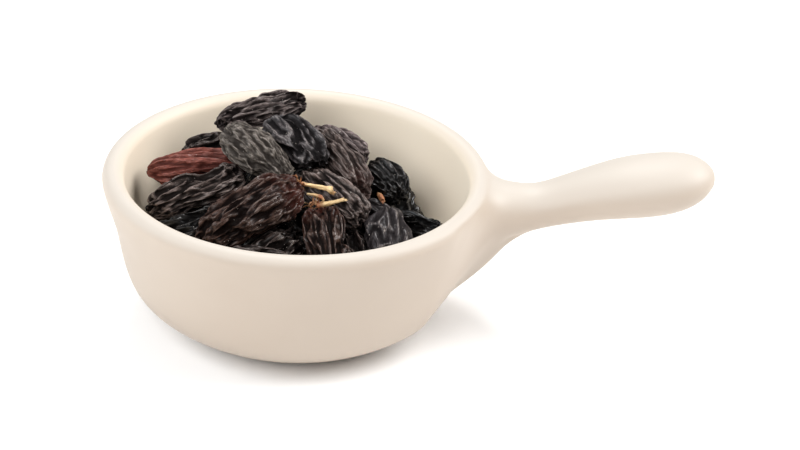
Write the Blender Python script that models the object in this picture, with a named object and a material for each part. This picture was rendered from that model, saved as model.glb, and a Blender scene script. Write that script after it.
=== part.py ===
"""A small stoneware pan with one solid handle, heaped with large dark raisins.

The pan is one fired piece: a turned bowl with a rounded lip, and a handle that was joined
on while the clay was soft. The raisins lie loose in it, each one its own solid, pressed
flat where it leans on its neighbours. Some still carry a dry stalk.

Lengths are in millimetres until a mesh is made, where MM turns them into metres.
The origin is the middle of the flat base, +Z is up and the handle points along +X.
"""

import math

import bmesh
import bpy
import numpy as np
from mathutils import Vector

MM = 0.001
MERGE_DISTANCE = 0.001

# Bowl, as (radius, height) points that smooth curves pass through
BASE_RADIUS = 25.0
FLOOR_HEIGHT = 4.6
RIM_HEIGHT = 34.4
RIM_RADIUS = 42.0
LIP_ROUND = 2.4
OUTER_WALL = ((30.2, 3.3), (34.9, 7.2), (37.2, 11.6), (38.4, 17.0), (39.4, 22.5), (41.0, 28.0))
INNER_WALL = ((37.1, 27.0), (36.5, 21.0), (34.9, 14.5), (30.6, 8.8), (22.0, 5.4))
FLOOR_FLAT = 12.0
BOWL_SEGMENTS = 56
LIP_STEPS = 7

# Handle: in the root rings, the share of the way from inside the wall to the first station,
# and in the stations x. Then height of the widest line, half width, reach up and reach down.
HANDLE_LENGTH = 90.0
ROOT_DEPTH = 1.4
HANDLE_ROOT = (
    (0.0, 28.2, 8.8, 4.9, 22.7),
    (0.3, 27.9, 8.5, 5.0, 19.9),
    (0.6, 27.6, 8.0, 5.4, 15.2),
)
HANDLE_STATIONS = (
    (45.2, 27.0, 7.4, 6.0, 9.6),
    (48.0, 27.2, 6.7, 5.5, 6.5),
    (52.0, 28.1, 6.4, 4.8, 4.8),
    (57.0, 29.9, 6.8, 5.0, 5.0),
    (64.0, 32.3, 8.1, 5.5, 5.5),
    (70.0, 33.9, 9.2, 6.0, 6.0),
    (75.5, 34.9, 9.6, 6.2, 6.2),
)
TIP_RISE = 1.9
TIP_STEPS = 6
TIP_POWER = 2.5
HANDLE_SIDES = 20

# Raisins: a plump body with blunt ends, furrowed lengthwise in every other column
CONTACT_GAP = 0.36
WALL_GAP = 0.40
END_POWER = 2.5
LARGEST_INSET = 0.45
TOP_COLUMNS, TOP_RINGS = 20, 11
FURROW_STRENGTH = (0.5, 1.0)
RIDGE_STRENGTH = (0.0, 0.2)
WAVER, WAVER_PER_RING = 0.25, 1.3
CREASE_ANGLE = 36

# Buried raisins, in rings that are then pushed apart
BURIED_COLUMNS, BURIED_RINGS = 10, 7
BURIED_LAYERS = (
    # height, middle of the ring, its radius, raisins in it, turn of the first one, ceiling
    (9.5, (0.0, 0.0), 19.0, 7, 10.0, 21.0),
    (9.5, (0.0, 0.0), 5.5, 2, 60.0, 21.0),
    (16.0, (0.0, 0.0), 24.5, 9, 30.0, 19.5),
    (17.0, (0.0, 0.0), 9.0, 4, 15.0, 24.0),
    (24.5, (-5.0, 12.0), 7.5, 3, 80.0, 31.0),
)
BURIED_LENGTH, BURIED_WIDTH, BURIED_THICKNESS, BURIED_FURROW = 23.0, 12.0, 9.5, 1.0
SIZE_CHANCE, HEADING_CHANCE, SLOPE_CHANCE = 0.08, 0.5, 0.1
SETTLE_STEPS = 200
SETTLE_PLACES = (0.15, 0.38, 0.62, 0.85)
NEIGHBOUR_PUSH, WALL_PUSH, CEILING_PUSH = 0.25, 0.6, 0.5
PROBE_STEP = 0.5
SEED = 12

# Pressing: the share of its plump size that a spot of skin keeps at least, and how finely it grows
SMALLEST_SHARE = 0.1
GROWTH_STEPS = 18
REFINE_STEPS = 8

# The top layer, laid by hand: blossom end, stalk end, width, thickness, depth of the furrows
TOP_LAYER = {
    "raisin_01_top": ((-20.0, 17.5, 34.3), (0.3, 26.5, 37.8), 11.0, 8.0, 1.9),
    "raisin_02_grey": ((-16.9, 8.5, 38.2), (-1.5, -4.0, 33.0), 12.0, 9.5, 1.5),
    "raisin_03_red": ((-34.2, 7.0, 27.0), (-11.0, 5.0, 31.0), 11.0, 8.5, 1.8),
    "raisin_04_back_left": ((-28.0, 16.5, 26.0), (-13.0, 20.0, 29.0), 11.0, 9.5, 1.8),
    "raisin_05_left": ((-32.5, -7.0, 24.0), (-11.0, 0.0, 32.0), 12.0, 9.5, 2.1),
    "raisin_06_front_left": ((-30.5, -13.0, 20.5), (-12.0, -12.0, 27.0), 12.0, 9.5, 1.9),
    "raisin_07_big": ((-19.0, -23.0, 25.5), (1.0, -8.0, 34.5), 14.5, 12.0, 2.2),
    "raisin_08_front": ((-15.0, -29.0, 25.2), (2.5, -30.5, 25.8), 11.0, 9.0, 1.9),
    "raisin_09_stalked": ((10.0, -28.5, 23.0), (5.5, -9.5, 29.5), 12.5, 10.0, 2.2),
    "raisin_10_low_front": ((15.5, -27.0, 21.0), (11.0, -10.5, 24.5), 10.5, 9.0, 1.9),
    "raisin_11_middle": ((15.2, -9.0, 26.0), (-0.4, 5.5, 31.8), 10.5, 9.5, 1.8),
    "raisin_12_blunt": ((21.0, -22.0, 22.0), (20.0, -5.0, 27.2), 12.0, 10.0, 1.0),
    "raisin_13_right_end": ((31.0, -11.0, 26.6), (17.0, -2.5, 22.8), 10.5, 9.0, 1.5),
    "raisin_14_right": ((22.4, 4.6, 25.8), (13.3, 17.2, 26.3), 12.5, 10.5, 1.5),
    "raisin_15_back_right": ((0.8, 25.0, 30.8), (15.2, 11.5, 29.2), 10.5, 9.0, 1.5),
    "raisin_16_long": ((-7.5, 16.5, 36.8), (5.6, 0.6, 33.4), 12.0, 10.5, 1.9),
    "raisin_17_brown": ((0.6, 18.5, 34.8), (15.1, -2.0, 28.6), 11.5, 10.0, 1.9),
    "raisin_18_low_right": ((22.5, -2.5, 20.8), (10.0, 4.5, 22.8), 11.0, 9.5, 1.8),
    "raisin_19_low_middle": ((-12.0, -26.0, 20.0), (3.0, -14.0, 27.0), 12.0, 9.0, 2.1),
}

# Dry stalks: the points of the middle line from the raisin outwards, and the radius at each
STALK_SIDES = 7
STALK_TIP = 0.35
STALKS = {
    "stalk_long": (((1.3, -8.4, 34.4), (3.4, -8.4, 34.1), (5.8, -8.2, 33.5), (8.0, -8.0, 33.1)),
                   (0.42, 0.50, 0.52, 0.85)),
    "stalk_twig": (((2.6, -9.7, 32.7), (4.6, -9.7, 32.5), (5.9, -9.8, 31.9), (6.2, -10.0, 31.3)),
                   (0.30, 0.36, 0.34, 0.30)),
    "stalk_crown": (((5.3, -10.0, 30.2), (7.0, -9.8, 30.7), (9.0, -9.6, 31.3), (10.8, -9.3, 31.8)),
                    (0.60, 0.55, 0.50, 0.62)),
    "stalk_stub": (((17.4, 4.5, 26.5), (18.0, 2.7, 26.6), (18.7, 0.8, 26.5)),
                   (0.55, 0.60, 0.40)),
}


def curve_through(knots, steps):
    """Points of a smooth curve through the knots, with `steps` of them to each span."""
    knots = [np.array(knot, float) for knot in knots]
    row = [2 * knots[0] - knots[1], *knots, 2 * knots[-1] - knots[-2]]
    points = []
    for before, start, end, after in zip(row, row[1:], row[2:], row[3:]):
        for t in np.arange(steps) / steps:
            points.append(0.5 * (
                2 * start
                + (end - before) * t
                + (2 * before - 5 * start + 4 * end - after) * t ** 2
                + (3 * start - before - 3 * end + after) * t ** 3
            ))
    return np.array(points + [knots[-1]])


def lip_arc():
    """The half round of the lip, from the outer wall over the top to the inner wall."""
    turns = np.linspace(0, math.pi, LIP_STEPS + 1)
    across = RIM_RADIUS - LIP_ROUND + LIP_ROUND * np.cos(turns)
    height = RIM_HEIGHT - LIP_ROUND + LIP_ROUND * np.sin(turns)
    return np.stack([across, height], axis=1)


def outer_profile():
    """The outside as (radius, height) points, from the base to the top of the lip."""
    lip = lip_arc()
    wall = curve_through([(BASE_RADIUS, 0), *OUTER_WALL, lip[0]], 2)
    return np.concatenate([wall, lip[1:LIP_STEPS // 2 + 1]])


def inner_profile():
    """The inside as (radius, height) points, from the top of the lip to the flat floor."""
    lip = lip_arc()
    wall = curve_through([lip[-1], *INNER_WALL, (FLOOR_FLAT, FLOOR_HEIGHT)], 1)
    return np.concatenate([lip[LIP_STEPS // 2 + 1:-1], wall])


def to_object(mesh, name, material):
    """Turn a bmesh in millimetres into a named object in metres, shaded smooth."""
    bmesh.ops.scale(mesh, vec=(MM, MM, MM), verts=mesh.verts)
    bmesh.ops.recalc_face_normals(mesh, faces=mesh.faces)
    data = bpy.data.meshes.new(name)
    mesh.to_mesh(data)
    mesh.free()
    data.shade_smooth()
    data.set_sharp_from_angle(angle=math.radians(CREASE_ANGLE))
    data.materials.append(material)
    obj = bpy.data.objects.new(name, data)
    bpy.context.collection.objects.link(obj)
    return obj


def ringed_solid(name, grid, material):
    """A closed skin of rings: grid[ring][column] is a point, and the end rings are poles."""
    rings, columns = len(grid) - 1, len(grid[0])
    mesh = bmesh.new()
    bmesh.ops.create_uvsphere(mesh, u_segments=columns, v_segments=rings, radius=1)
    for vert in mesh.verts:
        polar = math.acos(max(-1, min(1, vert.co.z)))
        turn = math.atan2(vert.co.y, vert.co.x)
        ring = round(polar / math.pi * rings)
        column = round(turn / math.tau * columns) % columns
        vert.co = Vector(grid[ring][column])
    return to_object(mesh, name, material)


def plain_material(name, colour, roughness):
    """A Principled material of one colour."""
    material = bpy.data.materials.new(name)
    material.use_nodes = True
    shader = material.node_tree.nodes["Principled BSDF"]
    shader.inputs["Base Color"].default_value = (*colour, 1)
    shader.inputs["Roughness"].default_value = roughness
    shader.inputs["Metallic"].default_value = 0
    material.diffuse_color = (*colour, 1)
    return material


def make_bowl(material):
    """The bowl turned from its profile, with the handle joined on."""
    mesh = bmesh.new()
    profile = [(0, 0), *outer_profile(), *inner_profile(), (0, FLOOR_HEIGHT)]
    verts = [mesh.verts.new((across, 0, height)) for across, height in profile]
    edges = [mesh.edges.new(pair) for pair in zip(verts, verts[1:])]
    bmesh.ops.spin(
        mesh, geom=verts + edges, cent=(0, 0, 0), axis=(0, 0, 1),
        angle=math.tau, steps=BOWL_SEGMENTS, use_merge=True,
    )
    bmesh.ops.remove_doubles(mesh, verts=mesh.verts, dist=MERGE_DISTANCE)
    bowl = to_object(mesh, "bowl", material)

    handle = ringed_solid("handle_join", handle_grid(), material)
    handle.hide_render = True
    handle.display_type = "WIRE"
    join = bowl.modifiers.new("handle", "BOOLEAN")
    join.operation = "UNION"
    join.object = handle


def handle_grid():
    """Rings of the handle from inside the bowl's wall to the tip."""
    turns = np.arange(HANDLE_SIDES) / HANDLE_SIDES * math.tau
    wall = outer_profile()

    def section(middle, half_width, up, down):
        reach = np.where(np.sin(turns) > 0, up, down)
        return half_width * np.cos(turns), middle + reach * np.sin(turns)

    def near_wall(share, y, z):
        radius = np.interp(z, wall[:, 1], wall[:, 0]) - ROOT_DEPTH
        inside_wall = np.sqrt(radius ** 2 - y ** 2)
        return np.stack([inside_wall + share * (HANDLE_STATIONS[0][0] - inside_wall), y, z], axis=1)

    rings = []
    for share, middle, half_width, up, down in HANDLE_ROOT:
        rings.append(near_wall(share, *section(middle, half_width, up, down)))
    for x, middle, half_width, up, down in curve_through(HANDLE_STATIONS, 2):
        y, z = section(middle, half_width, up, down)
        rings.append(np.stack([np.full(HANDLE_SIDES, x), y, z], axis=1))

    start, middle, half_width, up, _ = HANDLE_STATIONS[-1]
    for step in range(1, TIP_STEPS):
        t = math.sin(0.5 * math.pi * step / TIP_STEPS)
        size = (1 - t ** TIP_POWER) ** 0.5
        y, z = section(middle + TIP_RISE * t, half_width * size, up * size, up * size)
        x = start + (HANDLE_LENGTH - start) * t
        rings.append(np.stack([np.full(HANDLE_SIDES, x), y, z], axis=1))

    tip = np.array([HANDLE_LENGTH, 0, middle + TIP_RISE])
    root = near_wall(0, np.zeros(1), np.array([HANDLE_ROOT[0][1]]))[0]
    poles = [np.tile(pole, (HANDLE_SIDES, 1)) for pole in (root, tip)]
    return [poles[0], *rings, poles[1]]


class Raisin:
    """One raisin: where it lies, its size and its wrinkled skin before it is pressed."""

    def __init__(self, blossom_end, stalk_end, width, thickness, furrow, columns, rings):
        self.ends = np.array([blossom_end, stalk_end], float)
        self.half_width, self.half_thickness = width / 2, thickness / 2
        self.furrow, self.columns, self.rings = furrow, columns, rings

    @property
    def length(self):
        return np.linalg.norm(self.ends[1] - self.ends[0])

    @property
    def radius(self):
        return (self.half_width + self.half_thickness) / 2

    def axes(self):
        along = (self.ends[1] - self.ends[0]) / self.length
        upward = np.array([0, 0, 1]) - along * along[2]
        upward /= np.linalg.norm(upward)
        return along, np.cross(upward, along), upward

    def reach_matrix(self):
        """Times a unit direction, a vector as long as the body's reach that way."""
        along, across, upward = self.axes()
        return np.stack([along * self.radius, across * self.half_width, upward * self.half_thickness])

    def outside(self, points):
        """How far points are outside the plump body, in mm, negative inside it."""
        along, across, upward = self.axes()
        local = points - self.ends.mean(axis=0)
        past_core = np.maximum(np.abs(local @ along) - (self.length / 2 - self.radius), 0)
        sideways = local @ across * self.radius / self.half_width
        vertical = local @ upward * self.radius / self.half_thickness
        return np.sqrt(past_core ** 2 + sideways ** 2 + vertical ** 2) - self.radius

    def skin(self, draw):
        """Grid of skin points, furrowed lengthwise, and the core point under each."""
        along, across, upward = self.axes()
        rings = np.arange(self.rings + 1)[:, None]
        turns = np.arange(self.columns)[None, :] / self.columns * math.tau
        place = (1 - np.cos(math.pi * rings / self.rings)) / 2
        girth = (1 - np.abs(2 * place - 1) ** END_POWER) ** 0.5

        furrow_columns = np.arange(self.columns)[None, :] % 2
        strength = np.where(furrow_columns, draw.uniform(*FURROW_STRENGTH, (1, self.columns)),
                            draw.uniform(*RIDGE_STRENGTH, (1, self.columns)))
        phase = draw.uniform(0, math.tau, (1, self.columns))
        waver = 1 - WAVER + WAVER * np.sin(phase + WAVER_PER_RING * rings)
        depth = self.furrow * strength * waver * np.sin(math.pi * place) ** 0.5
        shrink = girth * (1 - depth / self.radius)

        core = self.ends[0] + place[..., None] * (self.ends[1] - self.ends[0])
        sides = (np.cos(turns)[..., None] * across * self.half_width
                 + np.sin(turns)[..., None] * upward * self.half_thickness)
        skin = core + shrink[..., None] * sides
        inset = min(self.radius / self.length, LARGEST_INSET)
        held = np.clip(place, inset, 1 - inset)
        anchor = self.ends[0] + held[..., None] * (self.ends[1] - self.ends[0])
        return skin, np.broadcast_to(anchor, skin.shape)


def bowl_room(points, wall):
    """How far points are inside the bowl's hollow, in mm, negative in the wall."""
    flat = np.stack([np.hypot(points[..., 0], points[..., 1]), points[..., 2]], axis=-1)
    start, end = wall[:-1], wall[1:]
    span = end - start
    t = ((flat[..., None, :] - start) * span).sum(-1) / (span ** 2).sum(-1)
    nearest = start + np.clip(t, 0, 1)[..., None] * span
    gap = np.linalg.norm(flat[..., None, :] - nearest, axis=-1).min(axis=-1)
    limit = np.interp(flat[..., 1], wall[::-1, 1], wall[::-1, 0])
    inside = (flat[..., 0] < limit) & (flat[..., 1] > FLOOR_HEIGHT)
    return np.where(inside | (flat[..., 1] > RIM_HEIGHT), gap, -gap)


def hollow_outline():
    """The bowl's hollow as (radius, height) points, from the rim to the middle of the floor."""
    return np.concatenate([inner_profile(), [(0, FLOOR_HEIGHT)]])


def lay_buried(draw):
    """The raisins under the top layer, each with its ceiling: rings, turned a little by chance."""
    buried, ceilings = [], []
    for height, (x, y), ring_radius, count, first, ceiling in BURIED_LAYERS:
        for number in range(count):
            bearing = math.radians(first) + math.tau * number / count
            outward = np.array([math.cos(bearing), math.sin(bearing), 0])
            middle = np.array([x, y, height]) + ring_radius * outward
            heading = bearing + math.pi / 2 + draw.uniform(-HEADING_CHANCE, HEADING_CHANCE)
            slope = draw.uniform(-SLOPE_CHANCE, SLOPE_CHANCE)
            size, plumpness = 1 + draw.uniform(-SIZE_CHANCE, SIZE_CHANCE, 2)
            along = BURIED_LENGTH * size / 2 * np.array([math.cos(heading), math.sin(heading), slope])
            buried.append(Raisin(
                middle - along, middle + along, BURIED_WIDTH * plumpness, BURIED_THICKNESS,
                BURIED_FURROW, BURIED_COLUMNS, BURIED_RINGS,
            ))
            ceilings.append(ceiling)
    return buried, ceilings


def settle(buried, ceilings, top):
    """Push the buried raisins apart, out of the wall, out of the top layer and under a ceiling."""
    wall = hollow_outline()
    everyone = buried + top
    places = np.array(SETTLE_PLACES)
    girths = np.tile((1 - np.abs(2 * places - 1) ** END_POWER) ** 0.5, len(everyone))
    owner = np.repeat(np.arange(len(everyone)), len(places))
    moving = len(buried) * len(places)
    strangers = owner[:moving, None] != owner[None, :]
    lengths = np.array([raisin.length for raisin in buried])
    ceiling = np.repeat(ceilings, len(places))

    for _ in range(SETTLE_STEPS):
        ends = np.array([raisin.ends for raisin in everyone])
        spots = ends[:, :1] + places[:, None] * (ends[:, 1:] - ends[:, :1])
        spots = spots.reshape(-1, 3)
        reach = np.array([raisin.reach_matrix() for raisin in everyone])[owner]
        apart = spots[:moving, None] - spots[None]
        distance = np.linalg.norm(apart, axis=-1)
        direction = apart / np.maximum(distance, MERGE_DISTANCE)[..., None]
        own = np.linalg.norm(np.einsum("mab,mkb->mka", reach[:moving], direction), axis=-1)
        other = np.linalg.norm(np.einsum("kab,mkb->mka", reach, direction), axis=-1)
        room = own * girths[:moving, None] + other * girths[None, :]
        overlap = np.maximum(room - distance, 0) * strangers
        move = NEIGHBOUR_PUSH * (overlap[..., None] * direction).sum(axis=1)

        free = spots[:moving]
        radius = np.repeat([raisin.radius for raisin in buried], len(places)) * girths[:moving]
        short = np.maximum(radius + WALL_GAP - bowl_room(free, wall), 0)
        inward = np.stack([bowl_room(free + step, wall) - bowl_room(free - step, wall)
                           for step in PROBE_STEP * np.eye(3)], axis=-1)
        move += WALL_PUSH * short[:, None] * inward
        move[:, 2] -= CEILING_PUSH * np.maximum(free[:, 2] + radius - ceiling, 0)

        move = move.reshape(len(buried), len(places), 3)
        for raisin, length, spot_moves in zip(buried, lengths, move):
            push = np.stack([((1 - places)[:, None] * spot_moves).sum(0),
                             (places[:, None] * spot_moves).sum(0)])
            raisin.ends = raisin.ends + push
            middle = raisin.ends.mean(axis=0)
            raisin.ends = middle + (raisin.ends - middle) * length / raisin.length


def stalk_clearance(points, stalks):
    """How far points are from the nearest dry stalk's surface, in mm."""
    nearest = np.full(points.shape[:-1], np.inf)
    for line, radii in stalks:
        line = np.array(line)
        for start, end, radius in zip(line, line[1:], radii):
            span = end - start
            t = np.clip((points - start) @ span / (span @ span), 0, 1)
            gap = np.linalg.norm(points - start - t[..., None] * span, axis=-1) - radius
            nearest = np.minimum(nearest, gap)
    return nearest


def press(raisin, others, draw):
    """The raisin's skin after its neighbours, the bowl and the stalks have pressed it in."""
    wall = hollow_outline()
    skin, anchor = raisin.skin(draw)
    near = [other for other in others
            if np.linalg.norm(other.ends.mean(axis=0) - raisin.ends.mean(axis=0))
            < (other.length + raisin.length) / 2 + 1]

    def is_free(scale):
        points = anchor + scale[..., None] * (skin - anchor)
        own = raisin.outside(points)
        free = bowl_room(points, wall) >= WALL_GAP
        free &= stalk_clearance(points, STALKS.values()) >= CONTACT_GAP
        for other in near:
            free &= own <= other.outside(points) - CONTACT_GAP
        return free

    shape = skin.shape[:2]
    scale = np.full(shape, SMALLEST_SHARE)
    growing = np.ones(shape, bool)
    shares = np.linspace(SMALLEST_SHARE, 1, GROWTH_STEPS + 1)
    for share in shares[1:]:
        growing &= is_free(np.full(shape, share))
        scale = np.where(growing, share, scale)
    blocked = np.minimum(scale + shares[1] - shares[0], 1)
    for _ in range(REFINE_STEPS):
        middle = (scale + blocked) / 2
        free = is_free(middle)
        scale = np.where(free & ~growing, middle, scale)
        blocked = np.where(free, blocked, middle)
    return anchor + scale[..., None] * (skin - anchor)


def stalk_grid(line, radii):
    """Rings of a dry stalk along its middle line, between two poles."""
    line = np.array(line)
    turns = np.arange(STALK_SIDES) / STALK_SIDES * math.tau
    rings = [np.tile(line[0], (STALK_SIDES, 1))]
    for index, (point, radius) in enumerate(zip(line, radii)):
        ahead = line[min(index + 1, len(line) - 1)] - line[max(index - 1, 0)]
        ahead /= np.linalg.norm(ahead)
        side = np.cross(ahead, (0.0, 0.0, 1.0))
        side /= np.linalg.norm(side)
        upward = np.cross(side, ahead)
        ring = point + radius * (np.cos(turns)[:, None] * side + np.sin(turns)[:, None] * upward)
        rings.append(ring)
    tip = line[-1] + STALK_TIP * radii[-1] * ahead
    return [*rings, np.tile(tip, (STALK_SIDES, 1))]


def build():
    """Clear the scene and make the bowl, the raisins and the stalks."""
    for obj in list(bpy.data.objects):
        bpy.data.objects.remove(obj)
    draw = np.random.default_rng(SEED)

    make_bowl(plain_material("cream_glaze", (0.80, 0.74, 0.64), 0.25))

    dark = plain_material("dark_raisin", (0.016, 0.013, 0.014), 0.5)
    red = plain_material("red_raisin", (0.085, 0.022, 0.016), 0.5)
    grey = plain_material("grey_raisin", (0.060, 0.055, 0.054), 0.6)
    skins = {"raisin_03_red": red, "raisin_02_grey": grey}
    top = {name: Raisin(*laid, TOP_COLUMNS, TOP_RINGS) for name, laid in TOP_LAYER.items()}
    buried, ceilings = lay_buried(draw)
    settle(buried, ceilings, list(top.values()))
    raisins = dict(top)
    for number, raisin in enumerate(buried, len(top) + 1):
        raisins[f"raisin_{number:02d}_buried"] = raisin
    for name, raisin in raisins.items():
        others = [other for other in raisins.values() if other is not raisin]
        ringed_solid(name, press(raisin, others, draw), skins.get(name, dark))

    straw = plain_material("dry_stalk", (0.55, 0.36, 0.16), 0.7)
    for name, (line, radii) in STALKS.items():
        ringed_solid(name, stalk_grid(line, radii), straw)


build()
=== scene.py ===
import math

import bmesh
import bpy
import numpy as np
from mathutils import Matrix, Vector, noise


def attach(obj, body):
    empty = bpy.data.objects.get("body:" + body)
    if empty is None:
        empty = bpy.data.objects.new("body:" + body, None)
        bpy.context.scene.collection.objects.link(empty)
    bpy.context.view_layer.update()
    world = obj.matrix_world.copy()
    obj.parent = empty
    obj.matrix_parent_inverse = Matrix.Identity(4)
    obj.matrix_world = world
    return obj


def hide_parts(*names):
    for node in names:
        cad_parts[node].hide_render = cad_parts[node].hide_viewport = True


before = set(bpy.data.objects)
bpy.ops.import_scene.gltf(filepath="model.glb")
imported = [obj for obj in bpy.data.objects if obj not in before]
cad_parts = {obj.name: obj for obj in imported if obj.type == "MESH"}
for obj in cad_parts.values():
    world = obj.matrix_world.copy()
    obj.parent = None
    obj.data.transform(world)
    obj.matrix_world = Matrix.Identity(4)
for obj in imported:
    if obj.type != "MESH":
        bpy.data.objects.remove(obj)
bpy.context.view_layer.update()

# The bowl with its handle: one piece of stoneware under a thick cream glaze. The bowl is turned
# and the handle is pressed on while the clay is soft, so the two run together in wide hollows.
# The foot ring is wiped free of glaze, so that it doesn't stick to the kiln's shelf.
MM = 0.001
MERGE_DISTANCE = 0.002 * MM
BOWL_SEGMENTS = 112
WALL_STEPS, LIP_STEPS = 3, 12

# Sizes are in mm, and each point of the wall is its radius and its height
RIM_RADIUS, RIM_HEIGHT, LIP_ROUND = 42.0, 34.4, 2.4
FOOT = ((0.0, 1.0), (17.0, 1.0), (20.0, 0.8), (21.3, 0.2), (22.4, 0.06), (24.2, 0.06), (25.8, 0.5))
OUTER_WALL = ((30.2, 3.3), (34.9, 7.2), (37.2, 11.6), (38.4, 17.0), (39.4, 22.5), (41.0, 28.0))
INNER_WALL = ((37.1, 27.0), (36.5, 21.0), (34.9, 14.5), (30.6, 8.8), (22.0, 5.4), (12.0, 4.6), (0.0, 4.6))

# The handle grows out of a patch of the wall, this many columns to each side of the middle and from
# the height of its foot to that of its head. Its tip is at HANDLE_END along the x axis
HANDLE_COLUMNS = 5
HANDLE_FOOT, HANDLE_HEAD = 4.6, 33.3
HANDLE_END, TIP_RISE, TIP_POWER = 89.6, 2.6, 2.7
HANDLE_STEPS, TIP_STEPS = 2, 6
HANDLE_STATIONS = (
    # x, height of the widest line, half width, reach up, reach down
    (41.3, 28.1, 9.0, 5.1, 20.8),
    (43.0, 27.7, 8.2, 5.3, 15.4),
    (45.2, 27.0, 7.4, 6.0, 9.6),
    (48.0, 27.2, 6.7, 5.5, 6.5),
    (52.0, 28.1, 6.4, 4.8, 4.8),
    (57.0, 29.9, 6.8, 5.0, 5.0),
    (64.0, 32.3, 8.1, 5.5, 5.5),
    (70.0, 33.9, 9.2, 6.0, 6.0),
    (75.5, 34.9, 9.6, 6.2, 6.2),
)

# The hollows at its root are softened over this many rings of corners, this often and this much
HOLLOW_RINGS, HOLLOW_PASSES, HOLLOW_SHARE = 5, 24, 0.5

# Painted light: what faces inwards is painted far paler than the outside, for the light that falls
# into the bowl, fading out over LIP_FADE up to INSIDE_LIGHT_TOP. Under UPFACING_LIGHT_HEIGHT what faces up
# is painted paler as well. What faces up elsewhere takes a paler, greyer painted sheen. The plain glaze and
# the painted inside light each cloud between two colours
FLOOR_HEIGHT, UPFACING_LIGHT_HEIGHT, INSIDE_LIGHT_TOP, LIP_FADE, INWARD_GAIN = 4.0, 20.0, 35.5, 5.0, 1.4
PLAIN_GLAZE = ((0.466, 0.387, 0.315, 1), (0.479, 0.402, 0.330, 1))
PAINTED_INSIDE_LIGHT = ((0.970, 0.845, 0.680, 1), (0.978, 0.862, 0.700, 1))
# Painted sheen: what faces up takes this paler, greyer colour, for the glaze's highlights
PAINTED_TOP_SHEEN = (0.505, 0.462, 0.412, 1)
BARE_CLAY = (0.56, 0.50, 0.42, 1)
BARE_BELOW, GLAZED_ABOVE = 0.3, 0.6


def curve_through(knots, steps):
    """Points of a smooth curve through the knots, with `steps` of them to each span."""
    knots = [np.array(knot, float) for knot in knots]
    row = [2 * knots[0] - knots[1], *knots, 2 * knots[-1] - knots[-2]]
    points = []
    for before, start, end, after in zip(row, row[1:], row[2:], row[3:]):
        for t in np.arange(steps) / steps:
            points.append(0.5 * (
                2 * start
                + (end - before) * t
                + (2 * before - 5 * start + 4 * end - after) * t ** 2
                + (3 * start - before - 3 * end + after) * t ** 3
            ))
    return points + [knots[-1]]


def draw_out(mesh, faces):
    """Extrude faces with nothing left behind under them, and return the new faces."""
    grown = bmesh.ops.extrude_face_region(mesh, geom=faces)["geom"]
    bmesh.ops.delete(mesh, geom=faces, context="FACES")
    return [item for item in grown if isinstance(item, bmesh.types.BMFace)]


def corners_of(faces):
    """The vertices that these faces have."""
    return {vert for face in faces for vert in face.verts}


class Wire:
    """A socket of a material's nodes. Sums on it add Math nodes."""

    def __init__(self, tree, socket=None):
        self.tree = tree
        self.socket = socket

    def node(self, kind, settings, inputs, output=0):
        """A node of any kind: its settings first, then the values and links of its sockets."""
        made = self.tree.nodes.new("ShaderNode" + kind)
        for name, value in settings.items():
            setattr(made, name, value)
        for name, value in inputs.items():
            if isinstance(value, Wire):
                self.tree.links.new(value.socket, made.inputs[name])
            else:
                made.inputs[name].default_value = value
        return Wire(self.tree, made.outputs[output])

    def math(self, operation, *values):
        """A Math node on values and wires."""
        return self.node("Math", {"operation": operation}, dict(enumerate(values)))

    def __add__(self, other):
        return self.math("ADD", self, other)

    def __radd__(self, other):
        return self.math("ADD", other, self)

    def __sub__(self, other):
        return self.math("SUBTRACT", self, other)

    def __rsub__(self, other):
        return self.math("SUBTRACT", other, self)

    def __mul__(self, other):
        return self.math("MULTIPLY", self, other)

    def __rmul__(self, other):
        return self.math("MULTIPLY", other, self)

    def between(self, low, high):
        """0 below low, 1 above high, and smooth from one to the other."""
        settings = {"interpolation_type": "SMOOTHSTEP"}
        return self.node("MapRange", settings, {"Value": self, "From Min": low, "From Max": high})

    def mix(self, colour_off, colour_on):
        """One colour where this mask is 0 and the other where it is 1."""
        return self.node("Mix", {"data_type": "RGBA"}, {0: self, 6: colour_off, 7: colour_on}, 2)

    def noise(self, place, scale, detail, roughness=0.5):
        """Noise that changes about `scale` times over one unit of its coordinates."""
        inputs = {"Vector": place, "Scale": scale, "Detail": detail, "Roughness": roughness}
        return self.node("TexNoise", {}, inputs)

    def painted(self, layer, output="Fac"):
        """A number, or a Vector, that is stored at each corner of the mesh."""
        return self.node("Attribute", {"attribute_name": layer}, {}, output)

    def bump(self, strength, distance):
        """The surface's normal where this height stands out by up to a distance in mm."""
        inputs = {"Strength": strength, "Distance": distance * MM, "Height": self}
        return self.node("Bump", {}, inputs, "Normal")

    def into(self, socket):
        """Link this wire to a socket."""
        self.tree.links.new(self.socket, socket)


def new_material(name):
    """A material, a wire into its node tree, the sockets of its shader, and Object coordinates."""
    made = bpy.data.materials.new(name)
    made.use_nodes = True
    wire = Wire(made.node_tree)
    sockets = made.node_tree.nodes["Principled BSDF"].inputs
    return made, wire, sockets, wire.node("TexCoord", {}, {}, "Object")


def add_piece(name, mesh, finish, slot, *nodes):
    """Make a bmesh into a smooth piece that stands for CAD nodes."""
    data = bpy.data.meshes.new(name)
    mesh.to_mesh(data)
    mesh.free()
    data.materials.append(finish)
    data.shade_smooth()
    piece = bpy.data.objects.new(name, data)
    bpy.context.collection.objects.link(piece)
    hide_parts(*nodes)
    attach(piece, "root")
    return piece


def bowl_outline():
    """The bowl's section as (radius, height) points, from under the foot over the lip and inside."""
    turns = np.linspace(0, math.pi, LIP_STEPS + 1)
    across = RIM_RADIUS - LIP_ROUND + LIP_ROUND * np.cos(turns)
    height = RIM_HEIGHT - LIP_ROUND + LIP_ROUND * np.sin(turns)
    lip = list(np.stack([across, height], axis=1))
    outside = curve_through([*FOOT, *OUTER_WALL, lip[0]], WALL_STEPS)[:-1]
    inside = curve_through([lip[-1], *INNER_WALL], WALL_STEPS)[1:]
    return [*outside, *lip, *inside]


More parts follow.
